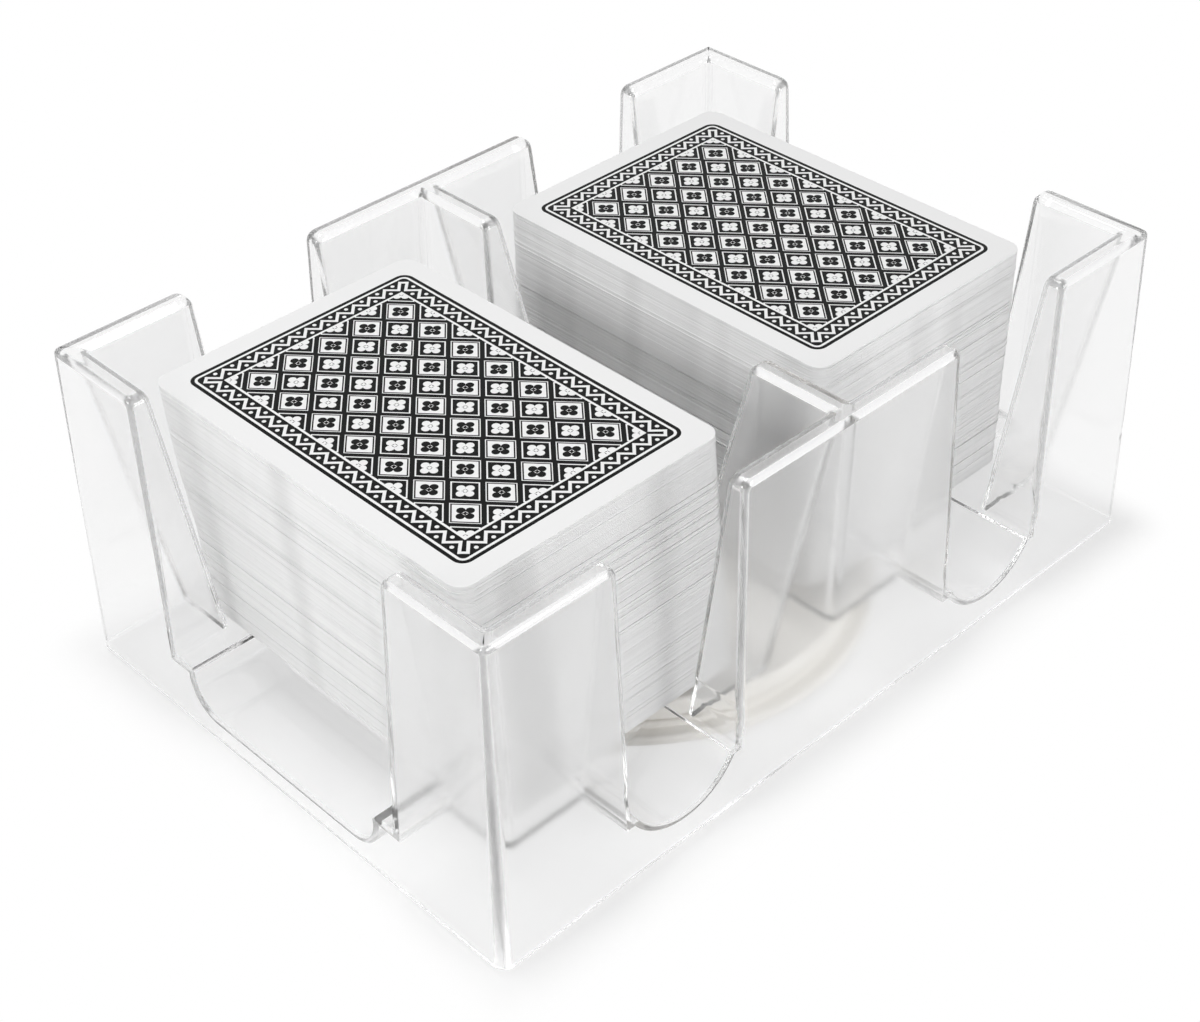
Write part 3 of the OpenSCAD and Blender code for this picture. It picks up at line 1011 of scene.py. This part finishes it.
@dataclass
class PanScrew:
    """A self-tapping screw with a pan head and a cross recess."""

    head_d: float
    head_h: float
    shank_d: float
    length: float
    pitch: float = 1.1
    thread_depth: float = 0.35
    tip: float = 1.2
    tip_share: float = 0.25
    under_share: float = 0.97
    under_rise: float = 0.05
    rim_rise: float = 0.3
    dome_turn: float = 0.9
    crown_share: float = 0.35
    recess_w: float = 0.9
    recess_share: float = 0.62
    recess_depth: float = 0.9
    recess_foot: float = 0.45
    recess_taper: float = 0.4
    recess_over: float = 1.2
    around: int = 32
    rows_per_turn: int = 6
    dome_steps: int = 5

    def radii(self) -> Iterator[tuple[float, Callable[[float], float]]]:
        """Gives the screw's rows, from its tip up.

        Yields:
            A row's height over the underside of the head, and its radius at a turn between 0 and 1.
        """
        crest = self.shank_d / 2
        root = crest - self.thread_depth
        rows = round(self.length / self.pitch * self.rows_per_turn)
        for row in range(rows):
            z = -self.length + self.length * row / rows
            taper = min(1.0, self.tip_share + (z + self.length) / self.tip)

            def radius(turn: float, z: float = z, taper: float = taper) -> float:
                """Gives the thread's radius, as a ridge that climbs by a pitch in each turn."""
                ridge = 1 - abs(2 * ((z / self.pitch - turn) % 1.0) - 1)
                return taper * (root + self.thread_depth * ridge)

            yield z, radius
        yield 0.0, lambda turn: root
        half = self.head_d / 2
        edge = self.head_h * self.rim_rise
        yield 0.0, lambda turn: half * self.under_share
        yield self.under_rise * self.head_h, lambda turn: half
        for step in range(self.dome_steps + 1):
            bend = step / self.dome_steps * math.pi / 2 * self.dome_turn
            r = half * (self.crown_share + (1 - self.crown_share) * math.cos(bend))
            yield edge + (self.head_h - edge) * math.sin(bend), lambda turn, r=r: r

    def mesh(self) -> Mesh:
        """Makes the screw upright, with the underside of its head on the origin.

        Returns:
            The closed mesh.
        """
        shape = bmesh.new()
        rings = []
        turns = [k / self.around for k in range(self.around)]
        ways = [Vector((math.cos(2 * math.pi * t), math.sin(2 * math.pi * t), 0)) for t in turns]
        for z, radius in self.radii():
            up = Vector((0, 0, z * MM))
            rings.append([shape.verts.new(w * radius(t) * MM + up) for w, t in zip(ways, turns)])
        skin(shape, rings)
        maker = linked("screw", mesh_of("screw", shape))
        cutter = linked("recess", self.recess())
        cut = maker.modifiers.new("recess", "BOOLEAN")
        cut.object = cutter
        made = plain_mesh(maker)
        bpy.data.objects.remove(cutter)
        return made

    def recess(self) -> Mesh:
        """Makes the cross that is pressed into the head, narrower at its foot.

        Returns:
            A closed mesh.
        """
        shape = bmesh.new()
        rings = []
        foot, top = self.head_h - self.recess_depth, self.head_h * self.recess_over
        for z, share in ((foot, self.recess_foot), (top, 1.0)):
            w = self.recess_w / 2 * (1 - self.recess_taper + self.recess_taper * share)
            long = self.head_d / 2 * self.recess_share * share
            arm = [(long, -w), (long, w), (w, w)]
            ring = []
            for quarter in range(4):
                turn = Matrix.Rotation(quarter * math.pi / 2, 3, "Z")
                ring += [shape.verts.new(turn @ Vector((x, y, z)) * MM) for x, y in arm]
            rings.append(ring)
        skin(shape, rings)
        return mesh_of("recess", shape)


@dataclass
class Turntable:
    """The two discs with their ball ring, screws, washer and feet."""

    edge_r: float = 0.15
    edge_steps: int = 2
    balls: int = 16
    ball_ring_r: float = 40.0
    ball_faces: int = 24
    screws: int = 4
    screw_ring_r: float = 22.0
    screw_head_h: float = 1.3
    screw_shank_d: float = 2.9
    pivot_head_h: float = 1.7
    pivot_shank_d: float = 3.0
    feet: int = 4
    foot_ring_r: float = 38.0
    foot_d: float = 10.0
    foot_r: float = 0.7
    foot_steps: int = 4
    foot_faces: int = 40
    dish: tuple[tuple[float, float], ...] = ((0.08, 0.25), (0.5, 0.2), (0.62, 0.0))
    crown_r: float = 0.2
    first_foot_deg: float = 45.0

    @staticmethod
    @cache
    def ring_tree() -> NodeTree:
        """Builds the tree that sets copies of an item round the upright axis, made on first use.

        Returns:
            The tree.
        """
        tree, given = geometry_tree(
            "ring_of_copies",
            {
                "Item": "NodeSocketGeometry",
                "Count": "NodeSocketInt",
                "Radius": "NodeSocketFloat",
                "Start": "NodeSocketVector",
                "Finish": "NodeSocketMaterial",
            },
        )
        inlet = given.outputs
        ring = add(tree, "GeometryNodeMeshCircle", {"Vertices": inlet["Count"], "Radius": inlet["Radius"]})
        turned = add(tree, "GeometryNodeTransform", {"Geometry": ring, "Rotation": inlet["Start"]})
        copies = add(tree, "GeometryNodeInstanceOnPoints", {"Points": turned, "Instance": inlet["Item"]})
        solid = add(tree, "GeometryNodeRealizeInstances", {"Geometry": copies})
        done = add(tree, "GeometryNodeSetMaterial", {"Geometry": solid, "Material": inlet["Finish"]})
        add(tree, "NodeGroupOutput", {0: done})
        return tree

    def ring(self, item: Mesh, count: int, radius: float, finish: Finish, start_deg: float = 0.0) -> Mesh:
        """Sets copies of an item round the axis.

        Args:
            item: the item, at its height over the origin.
            count: number of copies.
            radius: radius of the ring.
            finish: finish of the copies.
            start_deg: turn of the first copy.

        Returns:
            The copies as one mesh.
        """
        return grow(
            self.ring_tree(),
            item,
            {
                "Count": count,
                "Radius": radius * MM,
                "Start": Vector((0, 0, math.radians(start_deg))),
                "Finish": finish.material(),
            },
        )

    def discs(self) -> None:
        """Makes the two discs, and the cage and the washer with their edges broken."""
        discs = (("turntable_base", "lower_disc", "base"), ("turntable_plate", "upper_disc", "tray"))
        for node, name, body in discs:
            piece(name, dressed(smooth_copy(node), WHITE_ABS), body, "white_plastic", (node,))
        for node, name, body, slot, finish in (
            ("ball_cage", "nylon_cage", "ball_ring", "natural_nylon", NATURAL_NYLON),
            ("pivot_washer", "plated_washer", "base", "zinc_steel", ZINC_STEEL),
        ):
            mesh = rounded_copy(node, lambda edge: self.edge_r, self.edge_steps)
            piece(name, dressed(mesh, finish), body, slot, (node,))

    def bearing(self) -> None:
        """Sets the balls round their ring."""
        low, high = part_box("bearing_balls")
        shape = bmesh.new()
        bmesh.ops.create_uvsphere(
            shape,
            u_segments=self.ball_faces,
            v_segments=self.ball_faces // 2,
            radius=(high.z - low.z) / 2,
            matrix=Matrix.Translation((0, 0, (low.z + high.z) / 2)),
        )
        shape.verts.index_update()
        points = len(shape.verts)

        def rank(face: BMFace) -> int:
            """Numbers a face by its corners, because a new ball's faces come in no fixed order."""
            return sum(points**i * k for i, k in enumerate(sorted(v.index for v in face.verts)))

        shape.faces.sort(key=rank)
        mesh = self.ring(mesh_of("ball", shape), self.balls, self.ball_ring_r, BALL_STEEL)
        piece("steel_balls", mesh, "ball_ring", "ball_steel", ("bearing_balls",))

    def fasteners(self) -> None:
        """Makes the plate screws, which point up, and the pivot screw, which points down."""
        low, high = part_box("plate_screws")
        head_d = 2 * (high.x / MM - self.screw_ring_r)
        length = (high.z - low.z) / MM - self.screw_head_h
        screw = PanScrew(head_d, self.screw_head_h, self.screw_shank_d, length).mesh()
        seat = Matrix.Translation((0, 0, low.z + self.screw_head_h * MM))
        screw.transform(seat @ Matrix.Rotation(math.pi, 4, "X"))
        mesh = self.ring(screw, self.screws, self.screw_ring_r, ZINC_STEEL)
        piece("plate_pan_screws", mesh, "tray", "zinc_steel", ("plate_screws",))
        low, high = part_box("pivot_screw")
        length = (high.z - low.z) / MM - self.pivot_head_h
        pivot = PanScrew(2 * high.x / MM, self.pivot_head_h, self.pivot_shank_d, length).mesh()
        pivot.transform(Matrix.Translation((0, 0, high.z - self.pivot_head_h * MM)))
        piece("pivot_pan_screw", dressed(pivot, ZINC_STEEL), "base", "zinc_steel", ("pivot_screw",))

    def pads(self) -> None:
        """Makes the rubber feet, with a rounded foot and a shallow dish below."""
        low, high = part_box("rubber_feet")
        tall = (high.z - low.z) / MM
        half = self.foot_d / 2
        bends = [k / self.foot_steps * math.pi / 2 for k in range(self.foot_steps + 1)]
        foot = [(half - self.foot_r * (1 - math.sin(b)), self.foot_r * (1 - math.cos(b))) for b in bends]
        dish = [(half * share, rise) for share, rise in self.dish]
        crown = [(half, tall - self.crown_r), (half - self.crown_r, tall)]
        item = lathe("foot", dish + foot + crown, self.foot_faces)
        mesh = self.ring(item, self.feet, self.foot_ring_r, GREY_RUBBER, self.first_foot_deg)
        piece("rubber_pads", mesh, "base", "grey_rubber", ("rubber_feet",))

    def build(self) -> None:
        """Makes every piece of the turntable."""
        self.discs()
        self.bearing()
        self.fasteners()
        self.pads()


@dataclass
class Softbox:
    """A square lamp that faces the object."""

    name: str
    at: tuple[float, float, float]
    size: float
    power: float

    def build(self) -> None:
        """Hangs the lamp."""
        lamp = bpy.data.lights.new(self.name, "AREA")
        lamp.shape = "SQUARE"
        lamp.size = self.size
        lamp.energy = self.power
        made = linked(self.name, lamp)
        made.location = self.at
        made.rotation_mode = "QUATERNION"
        made.rotation_quaternion = (-Vector(self.at)).to_track_quat("-Z", "Y")


@dataclass
class Studio:
    """White sweep, soft light and the camera of the photograph."""

    camera_at: tuple[float, float, float] = (-248.90, -257.99, 297.69)
    camera_aim: tuple[float, float, float] = (0.20, 6.94, 15.97)
    camera_roll_deg: float = -1.37
    focal_px: float = 2141.7
    picture_px: int = 1200
    sensor_mm: float = 36.0
    near_clip: float = 0.01
    lamps: tuple[Softbox, ...] = (
        Softbox("softbox_above", (-0.1, 0.15, 0.9), 0.4, 3.8),
        Softbox("softbox_left", (-0.915, 0.1, 0.475), 0.35, 4.95),
        Softbox("softbox_front", (0.25, -0.92, 0.41), 0.5, 5.6),
    )
    fill: float = 0.15
    white_below: float = 0.1
    grey_above: float = 0.9
    seen_above: float = 0.97
    floor_reach: float = 3.0
    bounces: int = 96

    def camera(self) -> None:
        """Sets the camera where the photograph was taken."""
        lens = bpy.data.cameras.new("camera")
        lens.sensor_width = self.sensor_mm
        lens.lens = self.focal_px / self.picture_px * self.sensor_mm
        lens.clip_start = self.near_clip
        made = linked("camera", lens)
        at = Vector(self.camera_at) * MM
        aim = Vector(self.camera_aim) * MM
        made.location = at
        made.rotation_mode = "QUATERNION"
        roll = Quaternion((0, 0, 1), math.radians(self.camera_roll_deg))
        made.rotation_quaternion = (aim - at).to_track_quat("-Z", "Y") @ roll
        bpy.context.scene.camera = made

    def room(self) -> None:
        """Fills the room with even light, and shows it white at eye level and greyer above."""
        world = bpy.data.worlds.new("studio")
        bpy.context.scene.world = world
        world.use_nodes = True
        tree = world.node_tree
        tree.nodes.clear()
        way = add(tree, "ShaderNodeSeparateXYZ", {0: add(tree, "ShaderNodeTexCoord")})
        shown = add(
            tree,
            "ShaderNodeMapRange",
            {
                "Value": way.outputs["Z"],
                "From Min": self.white_below,
                "From Max": self.grey_above,
                "To Min": 1.0,
                "To Max": self.seen_above,
            },
        )
        level = add(tree, "ShaderNodeMix", {0: seen_ray(tree), 2: self.fill, 3: shown})
        sky = add(tree, "ShaderNodeBackground", {"Color": linear(WHITE), "Strength": level})
        add(tree, "ShaderNodeOutputWorld", {"Surface": sky})

    def floor(self) -> None:
        """Lays a white floor that keeps the object's shadow."""
        reach = self.floor_reach
        mesh = bpy.data.meshes.new("studio_floor")
        corners = [(-reach, -reach, 0), (reach, -reach, 0), (reach, reach, 0), (-reach, reach, 0)]
        mesh.from_pydata(corners, [], [(0, 1, 2, 3)])
        made = linked("studio_floor", dressed(mesh, WhiteSweep()))

    def build(self) -> None:
        """Sets up the whole studio."""
        scene = bpy.context.scene
        scene.view_settings.view_transform = "Standard"
        for kind in ("max", "transmission", "glossy"):
            setattr(scene.cycles, f"{kind}_bounces", self.bounces)
        scene.cycles.transparent_max_bounces = self.bounces
        self.camera()
        for lamp in self.lamps:
            lamp.build()
        self.room()
        self.floor()


def main() -> None:
    """Builds the object piece by piece."""
    logging.basicConfig(level=logging.INFO, format="%(message)s")
    Studio().build()
    Tray().build()
    Turntable().build()
    for well in Well:
        CardStack(well).build()


if __name__ == "__main__":
    main()
